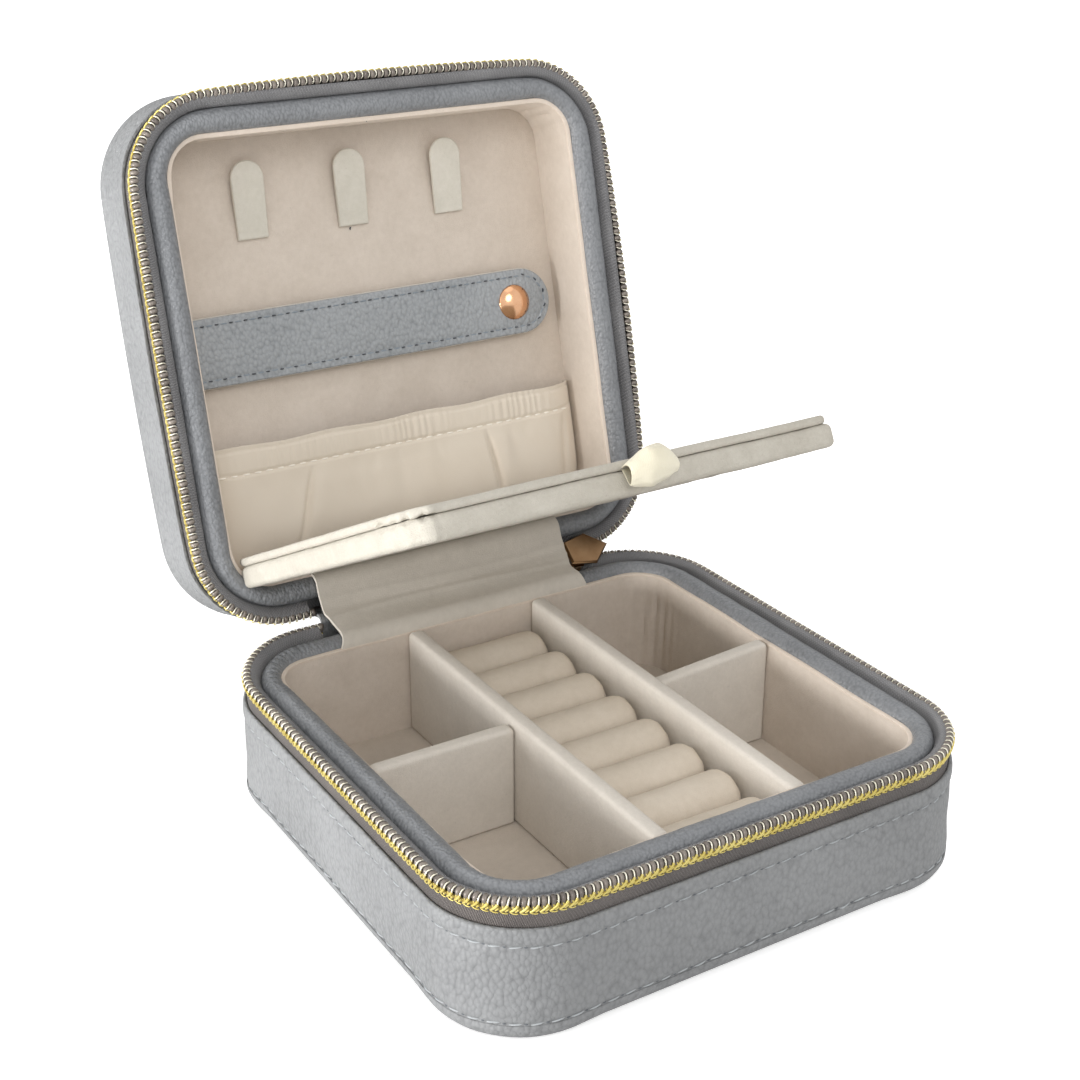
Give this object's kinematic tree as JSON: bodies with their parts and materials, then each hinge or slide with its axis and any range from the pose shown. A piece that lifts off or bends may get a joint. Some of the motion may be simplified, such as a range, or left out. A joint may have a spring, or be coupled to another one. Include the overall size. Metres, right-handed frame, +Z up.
{
  "type": "jewelry box",
  "caption": "Zip-round travel jewelry box in pebbled leather with a divided velvet tray, ring rolls, a tilting inner panel and a lid with necklace tabs, strap and pocket.",
  "frame": {"origin": "middle of the underside of the base, where it stands on the table", "axes": "+Z up, +Y towards the hinge at the back, +X to the right along the hinge line seen from the front; drawn with the lid open"},
  "size_m": [0.15, 0.211, 0.1829],
  "materials": {
    "leather": "pebbled, soft satin",
    "board": "raw greyboard",
    "foam": "soft foam",
    "velvet": "short brushed velvet",
    "pale_velvet": "short brushed velvet",
    "pocket_cloth": "thin woven cloth, matt",
    "zip_tape": "woven twill tape",
    "zip_coil": "bright metallised coil",
    "rose_gold": "polished rose gold",
    "snap_metal": "plated",
    "bronze": "satin rose bronze",
    "satin": "glossy satin ribbon"
  },
  "bodies": {
    "base": {"base_bottom_cover": "leather", "base_side_cover": "leather", "base_board": "board", "base_padding": "foam", "base_lining": "velvet", "base_floor_pad": "velvet", "base_rim_roll": "leather", "base_zip_tape": "zip_tape", "base_zip_coil": "zip_coil", "long_divider_left": "velvet", "long_divider_right": "velvet", "cross_divider_left": "velvet", "cross_divider_right": "velvet", "ring_bed": "foam", "ring_roll_1": "velvet", "ring_roll_2": "velvet", "ring_roll_3": "velvet", "ring_roll_4": "velvet", "ring_roll_5": "velvet", "ring_roll_6": "velvet", "ring_roll_7": "velvet", "ring_roll_8": "velvet", "hinge_sheet": "velvet", "hinge_spine": "leather"},
    "lid": {"lid_top_cover": "leather", "lid_side_cover": "leather", "lid_board": "board", "lid_padding": "foam", "lid_lining": "velvet", "lid_back_pad": "velvet", "lid_rim_roll": "leather", "lid_zip_tape": "zip_tape", "lid_zip_coil": "zip_coil", "necklace_tab_1": "pale_velvet", "necklace_tab_2": "pale_velvet", "necklace_tab_3": "pale_velvet", "earring_strap": "leather", "snap_cap": "rose_gold", "snap_socket": "snap_metal", "snap_stud": "snap_metal", "pocket_cloth": "pocket_cloth", "pocket_band": "pocket_cloth"},
    "panel": {"panel_lower_board": "pale_velvet", "panel_upper_board": "pale_velvet", "panel_ribbon": "satin"},
    "slider": {"slider_body": "bronze", "slider_bail": "bronze"},
    "pull": {"pull_tab": "bronze"}
  },
  "joints": [
    {"name": "lid_hinge", "type": "hinge", "parent": "base", "child": "lid", "pos_m": [0, 0.0754, 0.0386], "axis": [1, 0, 0], "range_deg": [0, 104.3], "deforming": ["hinge_sheet", "hinge_spine"]},
    {"name": "panel_hinge", "type": "hinge", "parent": "lid", "child": "panel", "pos_m": [0, 0.08509, 0.05618], "axis": [1, 0, 0], "range_deg": [-77.5, 0], "deforming": ["panel_ribbon"]},
    {"name": "slider_tilt", "type": "hinge", "parent": "base", "child": "slider", "pos_m": [0.04731, 0.0754, 0.0386], "axis": [1, 0, 0], "range_deg": [0, 52.15]},
    {"name": "pull_swing", "type": "hinge", "parent": "slider", "child": "pull", "pos_m": [0.04731, 0.07822, 0.03497], "axis": [1, 0, 0], "range_deg": [0, 70]}
  ],
  "couplings": [
    {"joint": "panel_hinge", "follows": "lid_hinge", "ratio": -0.74305},
    {"joint": "slider_tilt", "follows": "lid_hinge", "ratio": 0.5}
  ]
}
